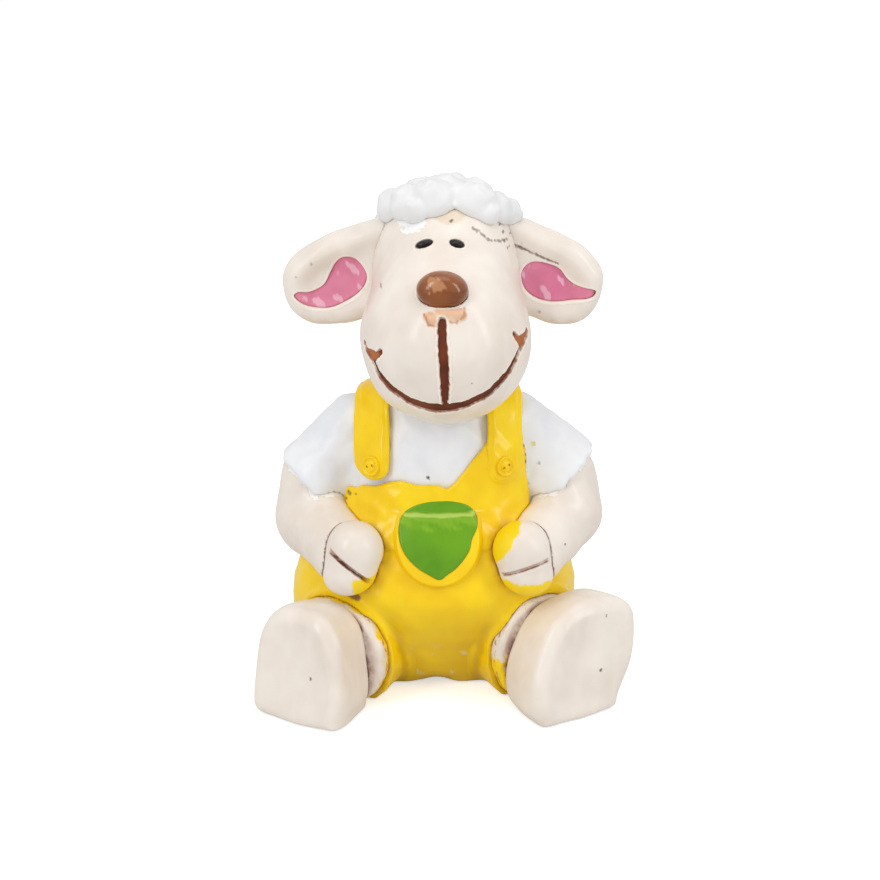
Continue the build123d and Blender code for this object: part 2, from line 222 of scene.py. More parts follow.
def surface(form, low, high, step):
    """Points, quads and normals of a form inside a box."""
    block = 4
    low = np.array(low, float) - 2 * step
    cells = np.ceil((np.array(high, float) + 2 * step - low) / (step * block)).astype(int)
    axes = [low[i] + step * block * np.arange(cells[i] + 1) for i in range(3)]
    grid = np.stack(np.meshgrid(*axes, indexing="ij"), -1)
    coarse = in_chunks(form, grid.reshape(-1, 3)).reshape(grid.shape[:3])
    near = np.abs(coarse) < step * block * 1.3
    inside = coarse < 0
    active = np.zeros(cells, bool)
    any_in, all_in = np.zeros(cells, bool), np.ones(cells, bool)
    corners = [(i, j, k) for i in (0, 1) for j in (0, 1) for k in (0, 1)]

    def part_at(corner, size):
        return tuple(slice(c, c + s) for c, s in zip(corner, size))

    for corner in corners:
        here = part_at(corner, cells)
        active |= near[here]
        any_in |= inside[here]
        all_in &= inside[here]
    active |= any_in & ~all_in
    fine = active.repeat(block, 0).repeat(block, 1).repeat(block, 2)
    n = cells * block
    need = np.zeros(n + 1, bool)
    for corner in corners:
        need[part_at(corner, n)] |= fine
    values = np.full(n + 1, FAR, np.float32)
    values[need] = in_chunks(form, low + np.argwhere(need) * step)
    inside = values < 0
    count = np.zeros(n, np.uint8)
    for corner in corners:
        count += inside[part_at(corner, n)]
    mixed = fine & (count > 0) & (count < 8)
    cell = np.argwhere(mixed)
    number = np.full(n, -1, np.int32)
    number[mixed] = np.arange(len(cell))
    total, hits = np.zeros((len(cell), 3)), np.zeros(len(cell))
    for axis in range(3):
        for a in [np.array(c) for c in corners if not c[axis]]:
            b = a.copy()
            b[axis] = 1
            va, vb = (values[tuple((cell + c).T)].astype(float) for c in (a, b))
            cross = (va < 0) != (vb < 0)
            t = np.where(cross, va / np.where(cross, va - vb, 1), 0)
            total[cross] += (a + t[:, None] * (b - a))[cross]
            hits += cross
    v = low + (cell + total / np.maximum(hits, 1)[:, None]) * step
    quads = []
    for axis in range(3):
        u, w = (axis + 1) % 3, (axis + 2) % 3
        e = np.argwhere(np.diff(inside, axis=axis))
        e = e[(e[:, u] > 0) & (e[:, w] > 0) & (e[:, u] < n[u]) & (e[:, w] < n[w])]
        ids = []
        for du, dw in ((-1, -1), (0, -1), (0, 0), (-1, 0)):
            c = e.copy()
            c[:, u] += du
            c[:, w] += dw
            ids.append(number[tuple(c.T)])
        q = np.stack(ids, 1)
        q = np.where(inside[tuple(e.T)][:, None], q, q[:, ::-1])
        quads.append(q[(q >= 0).all(1)])
    q = np.concatenate(quads)
    edges = np.concatenate([q[:, [i, (i + 1) % 4]] for i in range(4)])
    a, b = edges[:, 0], edges[:, 1]
    degree = np.maximum(np.bincount(a, minlength=len(v)), 1)

    def settle(v, limit):
        d = in_chunks(form, v)
        g = gradient(form, v)
        move = (d / np.clip((g * g).sum(1), 0.3, None))[:, None] * g
        size = np.sqrt((move * move).sum(1))[:, None] + 1e-12
        return v - move * np.minimum(1, limit / size), g

    v, g = settle(v, step)
    for _ in range(2):
        mean = np.stack([np.bincount(a, v[b, i], len(v)) for i in range(3)], 1) / degree[:, None]
        normal = unit(g)
        slide = mean - v
        slide -= (slide * normal).sum(1)[:, None] * normal
        v, g = settle(v + 0.6 * slide, step * 0.5)
    return v, q, unit(g)


# Trunk, sleeves, arms, hands

trunk_parts = [
    egg((BODY_X, BODY_Y, 26.0), (11.5, 9.0, 11.0)),
    egg((BODY_X, BODY_Y, 12.5), (15.2, 12.6, 14.6)),
    egg((-1.65, 3.0, 8.8), (16.4, 12.8, 11.8)),
]


def trunk(p):
    d = blend(trunk_parts[1](p), trunk_parts[2](p), 2.0)
    return blend(trunk_parts[0](p), d, 2.5)


SLEEVES = {
    "right": ((-9.3, 3.0, 30.3), (-14.3, 2.4, 24.2)),
    "left": ((9.0, 3.0, 30.3), (14.3, 2.4, 24.8)),
}
sleeve_ends = {
    s: tuple(np.array([BODY_X + x, y, z]) for x, y, z in ends) for s, ends in SLEEVES.items()
}
sleeve_limbs = {s: limb(a, b, 4.0, 5.15) for s, (a, b) in sleeve_ends.items()}


def sleeve(name, p):
    a, b = sleeve_ends[name]
    along = (b - a) / np.linalg.norm(b - a)
    past = (p - b) @ along
    ragged = 0.16 * np.sin(1.9 * p[:, 1] + 0.6) + 0.12 * np.sin(4.1 * p[:, 0] + 1.7 * p[:, 1])
    return both(sleeve_limbs[name](p) + 0.1, past - 0.7 - ragged, 0.45)


fold = wobble(5.5, 0.16, 11)
fine = wobble(2.6, 0.05, 12)


def shirt_skin(p):
    d = trunk(p)
    for name in SIDES:
        d = blend(d, sleeve(name, p), 1.6)
    return d - fold(p) * 0.7 - fine(p)


ELBOW_Z = {"right": 19.6, "left": 20.1}
ARM_OFF_TRUNK = 0.35  # where the arm starts
arm_points = {
    s: [
        (BODY_X + k * 14.4, 2.5, 24.3),
        (BODY_X + k * 15.0, 2.0, ELBOW_Z[s]),
        (BODY_X + k * 14.1, -0.1, ELBOW_Z[s] - 0.5),
        (BODY_X + k * 11.1, -6.1, 18.0),
    ]
    for s, k in SIDES.items()
}
arm_uppers = {s: limb(q[0], q[1], 4.15, 4.45) for s, q in arm_points.items()}
arm_fores = {s: limb(q[2], q[3], 4.35, 3.85) for s, q in arm_points.items()}
arm_uneven = wobble(7.0, 0.14, 21)


def arm_skin(name, p):
    d = blend(arm_uppers[name](p), arm_fores[name](p), 2.2) - arm_uneven(p)
    return np.maximum(d, ARM_OFF_TRUNK - trunk(p))


hand_centres = {s: np.array([BODY_X + k * 10.0, -8.4, 17.9]) for s, k in SIDES.items()}


def hand_skin(name, p):
    """A mitten: a pointed upper lobe of fingers over a lower lobe with the thumb."""
    k = SIDES[name]
    c = hand_centres[name]
    upper = egg(c + (k * -0.5, 0.0, 1.4), (3.3, 3.3, 3.1), (0, -k * 30, 0))(p)
    lower = egg(c + (k * 0.2, -0.1, -1.7), (3.1, 3.2, 2.5), (0, k * 12, 0))(p)
    whole = egg(c, (3.4, 3.4, 4.0), (0, -k * 14, 0))(p)
    return blend(blend(upper, lower, 0.7), whole + 0.25, 0.6)


SLITS = {"right": (-0.85, 0.32, 0.75), "left": (-0.35, 0.2, 0.32)}  # slope, half width, depth


def hand_form(name, p):
    """The hand with the slanted slit between the fingers and the thumb."""
    slope, wide, deep = SLITS[name]
    d = hand_skin(name, p)
    q = p - hand_centres[name]
    x, z = q[:, 0] * SIDES[name], q[:, 2]
    line = z - 0.1 + slope * x + 0.06 * x * x
    slit = np.maximum(np.maximum(np.abs(line) - wide, np.abs(x - 0.2) - 2.8), q[:, 1] + 1.6)
    return carve(d, np.maximum(slit, -(d + deep)), 0.22)


# Legs, cuffs and feet

FEET = {"right": (-16.9, -13.0, -31.0), "left": (15.3, -11.7, 34.0)}  # x, y and turn of the sole
SOLE_TOP = 13.4  # height of the feet
SOLES = {
    "right": [
        (-5.3, 0.5), (-5.8, 2.2), (-5.9, 5.8), (-5.3, 9.8), (-3.5, 12.4), (0.0, 13.3),
        (2.8, 13.0), (4.8, 11.2), (5.8, 8.3), (6.3, 4.1), (6.1, 1.2), (5.0, -0.2), (-3.0, -0.2),
    ],
    "left": [
        (-6.4, 0.9), (-6.9, 3.0), (-6.6, 5.5), (-5.6, 8.2), (-4.2, 10.6), (-2.0, 12.5),
        (1.0, 13.3), (4.8, 13.0), (7.5, 11.8), (8.4, 9.8), (7.5, 5.2), (5.2, 1.5), (3.4, -0.2),
        (-4.6, -0.2),
    ],
}
sole_fields = fields(SOLES)


def foot_place(name):
    x, y, turn = FEET[name]
    return x, y, math.cos(math.radians(turn)), math.sin(math.radians(turn))


def sole_frame(name, p):
    """Across, up and out of the sole."""
    x, y, c, s = foot_place(name)
    dx, dy = p[:, 0] - x, p[:, 1] - y
    return dx * c + dy * s, p[:, 2], dx * s - dy * c


foot_uneven = wobble(6.0, 0.1, 31)
FOOT_HALF = 3.3  # half the thickness of the foot
FOOT_LEAN = 0.085  # half of how far its front comes forward, per mm down


def foot_form(name, p):
    u, v, w = sole_frame(name, p)
    heel = FOOT_LEAN * np.clip(SOLE_TOP - v, 0, 14)
    depth = np.clip(-w, 0, 8)
    d2 = sole_fields[name](u, v) + 0.035 * depth**1.6
    d = slab(d2, w + FOOT_HALF - heel, FOOT_HALF + heel, 1.55)
    return both(d - foot_uneven(p), -p[:, 2], 0.5)


# The axis of cuff and leg: how far beside the middle of the sole, how high, and from where to
# where behind the sole
LEG_SHIFT = {"right": 0.5, "left": -0.1}
LEG_Z = 5.6
LEG_START, LEG_END = 7.9, 17.6
CUFF_R = 6.65
cuff_uneven = wobble(3.5, 0.12, 32)


def cuff_form(name, p):
    u, v, w = sole_frame(name, p)
    u = u - LEG_SHIFT[name]
    ring = np.hypot(u, v - LEG_Z)
    oval = 0.14 * np.sin(3 * np.arctan2(v - LEG_Z, u) + 1.0)
    d = slab(ring - CUFF_R - oval, w + 7.2, 1.0, 0.6)
    return both(d - cuff_uneven(p), -p[:, 2], 0.3)


def on_sole(name, u, v, w):
    """The point that the sole's frame puts there."""
    x, y, c, s = foot_place(name)
    return np.array([x + u * c + w * s, y + u * s - w * c, v])


leg_limbs = {
    s: limb(*(on_sole(s, LEG_SHIFT[s], LEG_Z, -back) for back in (LEG_START, LEG_END)), 7.2, 6.6)
    for s in SIDES
}


def leg_zone(name, p):
    """The stretch of the trousers that counts as the leg."""
    u, v, w = sole_frame(name, p)
    wide = np.hypot(u - LEG_SHIFT[name], v - LEG_Z) - 7.9
    return both(wide, np.maximum(w + LEG_START, -w - 16.5), 0.6)


trouser_fold = wobble(6.5, 0.16, 41)
HOLLOW = 2.3  # depth of the belly's hollow
arch = limb((-1.45, -16.0, 0.2), (-1.45, -3.0, -3.4), 4.7, 3.4)


def trousers_skin(p):
    """Trunk and legs in one, with the belly hollowed between the legs."""
    hollow = HOLLOW * step_up(-p[:, 2], -13.0, -4.5) * step_up(-p[:, 1], 1.0, 7.5)
    d = trunk(p) - CLOTH + hollow * step_up(-np.abs(p[:, 0] + 1.4), -8.5, -5.0)
    d = carve(d, arch(p), 1.6)
    for name in SIDES:
        leg = np.maximum(leg_limbs[name](p), sole_frame(name, p)[2] + LEG_START)
        d = blend(d, leg, 0.9)
    return d - trouser_fold(p) * 0.35 - fine(p)


# Bib, pocket, straps and buttons

BIB = [
    (-12.4, 18.0), (-12.3, 24.0), (-11.5, 24.4), (-10.7, 24.3), (-9.6, 25.0), (-8.1, 25.3), (-7.0, 25.9),
    (-5.3, 26.5), (-3.5, 26.1), (-1.0, 26.2), (0.1, 25.7), (1.0, 26.4), (2.7, 28.5), (4.2, 30.1),
    (5.0, 31.0), (9.3, 31.8), (9.9, 27.0), (9.8, 18.0),
]
bib_field = outline_distance(BIB)


def bib_skin(p):
    """Height over the trunk, and the outline seen from the front."""
    edge = bib_field(p[:, 0], p[:, 2])
    layer = trunk(p) - CLOTH - 0.25 * step_up(-edge, 0.0, 1.6) - fine(p)
    return both(layer, np.maximum(edge, p[:, 1] - BODY_Y), 0.35)


POCKET_Z = 20.3
HEM_Z = 23.15  # upper edge of the pocket
RIM_R = 5.3  # of the whole pocket
PATCH = [
    (-5.25, 22.4), (-4.7, 23.2), (-3.7, 23.85), (-2.2, 24.35), (-0.6, 24.5), (1.0, 24.4), (2.3, 24.0),
    (3.15, 23.3), (3.6, 22.4), (3.45, 21.5), (2.9, 20.4), (2.6, 19.3), (1.4, 17.75), (0.2, 16.9),
    (-0.7, 16.3), (-1.7, 16.7), (-3.5, 17.75), (-4.9, 19.3), (-5.4, 21.0),
]
patch_field = outline_distance(smooth_outline(PATCH, 3))


def from_pocket(p):
    return np.hypot(p[:, 0] - BODY_X, p[:, 2] - POCKET_Z)


def pocket_raise(p):
    """How far the pocket stands out of the bib."""
    r = from_pocket(p)
    return 0.62 * step_up(RIM_R - 0.15 - r, -0.1, 0.5) * step_up(HEM_Z - p[:, 2], -0.22, 0.22)


def pocket_rim_form(p):
    d2 = np.maximum(from_pocket(p) - RIM_R, -(patch_field(p[:, 0], p[:, 2]) + 0.02))
    top = trunk(p) - CLOTH - 0.02 - pocket_raise(p) * 0.98 - 0.25
    d = both(top, np.maximum(d2, np.maximum(p[:, 2] - HEM_Z - 0.3, p[:, 1] - BODY_Y)), 0.25)
    return np.maximum(d, -(trunk(p) - CLOTH + 0.1))


def pocket_patch_form(p):
    d2 = patch_field(p[:, 0], p[:, 2])
    top = trunk(p) - CLOTH - 0.1 - pocket_raise(p) - 0.25 - fine(p) * 0.4
    d = both(top, np.maximum(d2, p[:, 1] - BODY_Y), 0.12)
    return np.maximum(d, -(trunk(p) - CLOTH + 0.1))


STRAP_X, STRAP_BACK_X = 7.7, 3.6  # off the middle in front, and at the waist behind
STRAP_HALF = 2.12
# Heights where the round ends start
STRAP_STOPS = {"right": 28.3, "left": 27.7}


def strap_middle(name, p):
    k = SIDES[name]
    front = BODY_X + k * STRAP_X
    up = np.clip((p[:, 2] - WAIST_Z) / 15.6, 0, 1)
    back = BODY_X + k * (STRAP_BACK_X + (STRAP_X - STRAP_BACK_X) * up)
    t = step_up(p[:, 1], BODY_Y - 2.0, BODY_Y + 2.0)
    return front * (1 - t) + back * t


def strap_form(name, p):
    x = p[:, 0] - strap_middle(name, p)
    side = np.abs(x) - STRAP_HALF - 0.1 * np.sin(0.9 * p[:, 2] + SIDES[name])
    below = np.minimum(p[:, 2] - STRAP_STOPS[name], 0)
    end = np.where(p[:, 1] < BODY_Y, np.hypot(x, below) - STRAP_HALF, WAIST_Z - p[:, 2])
    edge = np.maximum(side, end)
    base = blend(trunk(p), sleeve(name, p), 1.6)
    height = base - 1.12 + 0.18 * step_up(-edge, 0.9, 0.35) - fine(p) * 0.8
    return np.maximum(both(height, edge, 0.4), -(base - 0.05))


def front_point(form, x, z, start=-25.0):
    """Where a line from the front meets a form."""
    x, z = np.atleast_1d(np.array(x, float)), np.atleast_1d(np.array(z, float))
    y = np.full(x.shape, start)
    for _ in range(60):
        d = form(np.stack([x, y, z], 1))
        y = y + np.clip(d, -1, 1) * 0.8
    return np.stack([x, y, z], 1)


BUTTON_Z = 28.0
button_places = {}
for side_name, side in SIDES.items():
    strap = partial(strap_form, side_name)
    spot = front_point(strap, BODY_X + side * STRAP_X, BUTTON_Z)
    out = gradient(strap, spot, 0.3)[0]
    button_places[side_name] = (spot[0], out / np.linalg.norm(out))


def button_form(name, p):
    """A round button with a ring and two holes."""
    c, n = button_places[name]
    q = p - c
    w = q @ n
    flat = q - w[:, None] * n
    r = np.sqrt((flat * flat).sum(1))
    x, z = flat[:, 0], flat[:, 2]
    top = 0.42 - 0.16 * np.exp(-(((r - 0.78) / 0.13) ** 2)) - 0.1 * step_up(r, 0.0, 0.9)
    d = both(slab(r - 1.16, w, 0.45, 0.2), w - top, 0.08)
    holes = np.minimum(np.hypot(x - 0.3, z - 0.12), np.hypot(x + 0.3, z + 0.12)) - 0.15
    return carve(d, np.maximum(holes, 0.1 - w), 0.05)


# Head

SKULL, SKULL_RADII = (0, 2.0, 51.0), (8.3, 8.4, 7.6)
skull = egg(SKULL, SKULL_RADII)
muzzle = egg((0, -5.0, 43.4), (9.6, 9.8, 9.7))
nape = egg((0, 2.8, 44.6), (7.4, 6.8, 8.8))
head_uneven = wobble(9.0, 0.13, 51)


def head_skin(p):
    d = blend(skull(p), muzzle(p), 4.2)
    d = blend(d, nape(p), 2.5)
    return d - head_uneven(p)


nose = egg((-0.4, -11.4, 50.9), (2.85, 2.1, 2.15), (0, 4, 0))
# Middle, half width and half height
EYE_PLACES = {"right": (-2.42, 0.96, 0.4), "left": (1.2, 0.8, 0.38)}
EYES, EYE_SEATS = {}, {}
for side_name, (eye_x, eye_wide, eye_tall) in EYE_PLACES.items():
    eye_turn = (0, SIDES[side_name] * 15, 0)
    EYES[side_name] = egg((eye_x, -5.5, 54.5), (eye_wide, 0.5, eye_tall), eye_turn)
    EYE_SEATS[side_name] = egg((eye_x, -5.6, 54.5), (eye_wide + 0.1, 0.62, eye_tall + 0.1), eye_turn)

SMILE = [
    (-8.1, 42.6), (-7.4, 41.2), (-6.0, 39.6), (-3.9, 38.35), (-2.0, 38.0), (-0.3, 37.9),
    (2.1, 38.3), (4.9, 39.6), (7.0, 41.8), (8.3, 44.1),
]
SMILE_WIDE = [0.34, 0.46, 0.6, 0.68, 0.7, 0.7, 0.68, 0.58, 0.42, 0.26]
# Short grooves at the ends of the smile: points and widths
FORKS = [
    ([(-8.1, 42.6), (-9.05, 43.85)], [0.32, 0.36]),
    ([(-8.1, 42.6), (-7.25, 43.9)], [0.32, 0.36]),
    ([(-8.5, 43.3), (-7.8, 43.35)], [0.4, 0.4]),
    ([(8.3, 44.1), (7.6, 45.6)], [0.3, 0.36]),
    ([(8.3, 44.1), (9.0, 45.2)], [0.3, 0.36]),
    ([(8.0, 44.9), (8.8, 44.85)], [0.4, 0.4]),
]
LIP = [(-0.42, 48.1), (-0.38, 46.0), (-0.2, 43.0), (-0.15, 40.5), (-0.05, 38.6)]
LIP_WIDE = [0.42, 0.48, 0.5, 0.46, 0.34]


def on_head(points, sink):
    """Points of a drawing laid on the face, a little under its skin."""
    spots = front_point(head_skin, [q[0] for q in points], [q[1] for q in points])
    n = gradient(head_skin, spots, 0.2)
    n /= np.linalg.norm(n, axis=1)[:, None]
    return spots - n * sink


def denser(points, wide, times=3):
    """More points, and widths, along the same line."""
    t = np.linspace(0, len(points) - 1, (len(points) - 1) * times + 1)
    index = np.arange(len(points))
    return np.stack([np.interp(t, index, q) for q in zip(*points)], 1), np.interp(t, index, wide)


def drawn(points, wide):
    """Tube along a line of the face."""
    points, wide = denser(points, wide)
    return chain(on_head(points, 0.08), wide)


fork_tubes = [chain(on_head(points, 0.05), wide) for points, wide in FORKS]
smile_tube = union([drawn(SMILE, SMILE_WIDE)] + fork_tubes)
lip_tube = drawn(LIP, LIP_WIDE)
groove_uneven = wobble(0.9, 0.045, 61)


def smile_groove(p):
    return smile_tube(p) - groove_uneven(p)


def lip_groove(p):
    return lip_tube(p) - groove_uneven(p)


# The small bumps under the nose
bump_spots = on_head([(-1.35, 48.3), (1.1, 48.6), (-0.1, 48.9)], 0.35)
bumps = [
    egg(bump_spots[0], (0.95, 0.75, 0.7), (0, 24, 0)),
    egg(bump_spots[1], (1.15, 0.75, 0.7), (0, -18, 0)),
    egg(bump_spots[2], (1.2, 0.7, 0.6)),
]
nose_bow = union(bumps)


EAR_OUTLINES = {
    "right": [
        (-6.2, 54.8), (-8.8, 55.0), (-13.2, 53.6), (-16.7, 51.6), (-18.8, 48.7), (-18.3, 45.6),
        (-16.8, 43.6), (-13.5, 42.9), (-9.8, 43.7), (-5.0, 45.5),
    ],
    "left": [
        (6.2, 55.0), (8.6, 55.3), (12.3, 53.9), (16.0, 51.8), (18.0, 48.9), (17.5, 45.6),
        (15.8, 43.5), (13.0, 42.9), (9.8, 43.7), (5.0, 45.5),
    ],
}
LININGS = {
    "right": [
        (-11.6, 51.3), (-10.3, 51.0), (-9.1, 49.4), (-9.4, 47.8), (-10.8, 46.4), (-13.3, 45.3),
        (-15.8, 45.5), (-17.3, 46.6), (-16.9, 47.2), (-15.6, 47.1), (-14.0, 47.9), (-13.2, 49.4),
        (-12.5, 50.7),
    ],
    "left": [
        (8.6, 49.2), (9.1, 50.3), (10.4, 50.7), (12.7, 50.0), (13.9, 48.6), (15.1, 47.8),
        (17.0, 47.4), (16.8, 46.6), (15.1, 46.2), (12.5, 46.0), (10.4, 46.4), (9.0, 47.6),
    ],
}
ear_fields, lining_fields = fields(EAR_OUTLINES), fields(LININGS)
ear_uneven = wobble(4.5, 0.1, 71)
EAR_Y, EAR_HALF = 2.5, 2.2  # middle and half the thickness


def ear_skin(name, p):
    """A paddle with a thick round rim and a shallow dish in front."""
    d2 = ear_fields[name](p[:, 0], p[:, 2])
    inward = np.clip(-d2, 0, 6)
    dish = 0.5 * step_up(inward, 1.4, 3.6) * step_up(p[:, 0] * SIDES[name], 8.0, 10.5)
    w = p[:, 1] - EAR_Y
    front = -(w + EAR_HALF - dish)
    d = np.maximum(slab(d2, w, EAR_HALF, 1.95), front)
    return both(d, front, 0.4) - ear_uneven(p)


# x and z of the crack in the left ear
CRACK = [(6.9, 53.0), (8.6, 52.4), (10.6, 51.4), (12.7, 50.5)]


def cleared(d, p, node, form, gap=JOINT_GAP):
    """Cuts the form of another piece out of a form, in the box of that piece."""
    lo, hi = BOXES[node]
    near = ((p > lo) & (p < hi)).all(1) & (d < 1.5)
    d = d.copy()
    if near.any():
        d[near] = np.maximum(d[near], -(form(p[near]) - gap))
    return d


def cleared_side(d, p, part, name, form, gap=JOINT_GAP):
    return cleared(d, p, f"{part}_{name}", partial(form, name), gap)


def ear_form(name, p):
    d = ear_skin(name, p)
    bed = np.maximum(lining_fields[name](p[:, 0], p[:, 2]) - 0.02, -(d + 0.75))
    bed = np.maximum(bed, p[:, 1] - 2.0)
    d = carve(d, bed, 0.12)
    if name == "left":
        d = carve(d, crack_tube(p), 0.1)
    return d


crack_spots = front_point(partial(ear_skin, "left"), *zip(*CRACK))
crack_tube = chain(crack_spots, [0.16, 0.17, 0.13, 0.05])


def lining_form(name, p):
    d = ear_skin(name, p) + 0.3 - 0.08 * np.sin(1.7 * p[:, 0] + 0.8 * p[:, 2])
    d = both(d, lining_fields[name](p[:, 0], p[:, 2]), 0.2)
    return np.maximum(d, np.maximum(p[:, 1] - 1.9, -(ear_skin(name, p) + 1.0)))


def head_form(p):
    """The head with roots for the ears, the bow and grooves, and seats for nose and eyes."""
    d = head_skin(p)
    for name, k in SIDES.items():
        near = (p[:, 0] * k > 3) & (d < 3)
        root = np.maximum(ear_skin(name, p[near]) + 0.9, np.abs(p[near][:, 0]) - 8.4)
        d[near] = blend(d[near], root, 1.6)
    near = (p[:, 1] < -4.5) & (np.abs(d) < 2)
    q, face = p[near], d[near]
    for bump in bumps:
        face = blend(face, bump(q), 0.35)
    face = carve(carve(face, smile_groove(q), 0.12), lip_groove(q), 0.12)
    d[near] = np.maximum(face, -(nose(q) - JOINT_GAP))
    for name in SIDES:
        near = (p[:, 2] > 52.5) & (p[:, 1] < 0)
        d[near] = carve(d[near], EYE_SEATS[name](p[near]), 0.15)
        d = cleared_side(d, p, "ear", name, ear_skin, 0.02)
    return d


def groove_fill(groove, p):
    """Paint that stands in a groove, a little under the skin of the face."""
    return both(groove(p) - 0.05, np.maximum(head_skin(p) + 0.26, -(head_skin(p) + 1.2)), 0.08)


smile_form = partial(groove_fill, smile_groove)


def lip_form(p):
    return np.maximum(groove_fill(lip_groove, p), -(smile_form(p) - 0.01))


nose_uneven = wobble(3.0, 0.04, 81)


def nose_form(p):
    return nose(p) - nose_uneven(p)


# Wool cap: curls in rings over the crown, on a thin layer

cap_axes = turned(-30, 0, 0).T
# Places and radii
FRONT_CURLS = [
    (-5.9, 1.6, 57.0, 2.0), (-4.2, -0.1, 57.7, 2.2), (-1.5, -0.8, 58.1, 2.6), (3.2, -0.6, 57.8, 2.5),
    (5.6, 0.6, 56.9, 2.0), (6.8, 2.2, 56.0, 1.9), (-3.3, -1.9, 57.3, 1.7), (4.6, -1.6, 56.9, 1.5),
    (1.0, 0.2, 58.2, 1.9),
]
curls = []
dice = np.random.default_rng(7)


def add_curl(centre, r):
    """Keeps a curl's place, its three directions, its radius, its way round and its start."""
    out = (centre - SKULL) / SKULL_RADII
    out /= np.linalg.norm(out)
    side_way = np.cross(out, (0.3, 0.2, 1.0))
    side_way /= np.linalg.norm(side_way)
    up_way = np.cross(out, side_way)
    curls.append((centre, out, side_way, up_way, r, dice.choice([-1, 1]), dice.uniform(0, 6)))


for x, y, z, r in FRONT_CURLS:
    add_curl(np.array([x, y, z]), r)
RINGS = ((4, 1), (30, 6), (54, 9), (78, 11))  # angle off the middle, and number of curls
for ring, (angle, number_of) in enumerate(RINGS):
    for i in range(number_of):
        turn = 2 * math.pi * (i + ring / 2) / number_of + dice.normal() * 0.08
        tilt = math.radians(angle + dice.normal() * 2.5)
        local = np.array(
            [math.sin(tilt) * math.cos(turn), math.sin(tilt) * math.sin(turn), math.cos(tilt)]
        )
        centre = np.array(SKULL) + (local @ cap_axes) * (7.7, 8.2, 7.0)
        centre[0] *= 1 - 0.16 * float(np.clip((7.0 - centre[1]) / 4.0, 0, 1))
        behind_ear = abs(centre[0]) > 5.8 and centre[1] < 6.2 and centre[2] < 54.5
        if not behind_ear and (centre[1] > 3.0 or centre[2] > 57.6 and centre[1] > 0.8):
            add_curl(centre, 2.4 + dice.uniform(-0.3, 0.4))


def wool_skin(p):
    height = (p - SKULL) @ cap_axes[2]
    d = both(skull(p) - 0.7, 3.3 + 0.4 * np.sin(0.9 * p[:, 0] + 0.6) - height, 0.8)
    for centre, out, side_way, up_way, r, way, phase in curls:
        v = p - centre
        dist = np.sqrt((v * v).sum(1))
        near = dist < r + 1.6
        ball = dist - r
        x, y = v[near] @ side_way, v[near] @ up_way
        rho = np.hypot(x, y)
        swirl = np.sin(way * np.arctan2(y, x) + rho * 3.4 + phase)
        ball[near] -= 0.11 * swirl * step_up(rho, 0.1, 0.7)
        d = blend(d, ball, 0.35)
    return d


def cap_form(p):
    d = wool_skin(p)
    near = d < 1.5
    d[near] = np.maximum(d[near], -(head_skin(p[near]) - JOINT_GAP))
    for name in SIDES:
        d = cleared_side(d, p, "ear", name, ear_skin)
    return d


# Pieces that are cut back by their neighbours


def shirt_form(p):
    d = np.maximum(shirt_skin(p), WAIST_Z + 0.05 - p[:, 2])
    d = cleared(d, p, "head", head_skin)
    for name in SIDES:
        d = cleared_side(d, p, "arm", name, arm_skin)
    return cleared(d, p, "neck", neck_form, -0.3)


def neck_form(p):
    return slab(np.hypot(p[:, 0] - BODY_X / 2, p[:, 1] - 3.0) - 5.0, p[:, 2] - 38.5, 7.0, 0.6)


def dungarees_form(p):
    low = np.maximum(trousers_skin(p), p[:, 2] - WAIST_Z)
    above = p[:, 2] > WAIST_Z - 2.5
    high = np.full(len(p), FAR)
    q = p[above]
    shirt = shirt_skin(q) - JOINT_GAP + FAR * (q[:, 2] < WAIST_Z)
    high[above] = np.maximum(np.maximum(bib_skin(q), -(trunk(q) - 0.05)), -shirt)
    d = both(np.minimum(low, high), -p[:, 2], 0.5)
    for name in SIDES:
        d = cleared_side(d, p, "trouser_leg", name, leg_zone, -0.4)
        for part, form in (("cuff", cuff_form), ("arm", arm_skin), ("hand", hand_skin)):
            d = cleared_side(d, p, part, name, form)
    return d


def leg_form(name, p):
    d = both(np.maximum(trousers_skin(p) - 0.04, leg_zone(name, p)), -p[:, 2], 0.5)
    d = cleared_side(d, p, "arm", name, arm_skin)
    return cleared_side(d, p, "hand", name, hand_skin)


def arm_form(name, p):
    return np.maximum(arm_skin(name, p), -(hand_skin(name, p) - JOINT_GAP))


def eye_form(name, p):
    return EYES[name](p)


# Form and mesh step of every piece
PIECES = {
    "shirt": (shirt_form, 0.2),
    "neck": (neck_form, 0.4),
    "dungarees": (dungarees_form, 0.2),
    "pocket_rim": (pocket_rim_form, 0.11),
    "pocket_patch": (pocket_patch_form, 0.12),
    "head": (head_form, 0.15),
    "wool_cap": (cap_form, 0.16),
    "nose": (nose_form, 0.12),
    "smile_line": (smile_form, 0.07),
    "lip_line": (lip_form, 0.07),
}
# The same for the pieces that come once for each side
PAIRS = {
    "strap": (strap_form, 0.14),
    "button": (button_form, 0.055),
    "arm": (arm_form, 0.18),
    "hand": (hand_form, 0.11),
    "trouser_leg": (leg_form, 0.18),
    "cuff": (cuff_form, 0.14),
    "foot": (foot_form, 0.17),
    "ear": (ear_form, 0.14),
    "ear_lining": (lining_form, 0.1),
    "eye": (eye_form, 0.05),
}
for side_name in SIDES:
    for part, (form, step) in PAIRS.items():
        PIECES[f"{part}_{side_name}"] = (partial(form, side_name), step)

# Room for each piece: the box of its node with a margin, and more for the leaning feet
BOX_MARGIN = 1.6
BOXES = {}
for node in PIECES:
    lo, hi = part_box(node)
    BOXES[node] = (np.array(lo) / MM - BOX_MARGIN, np.array(hi) / MM + BOX_MARGIN)
    if node.startswith("foot"):
        BOXES[node] = (BOXES[node][0] - (1.5, 1.8, 0), BOXES[node][1] + (1.5, 0, 0))


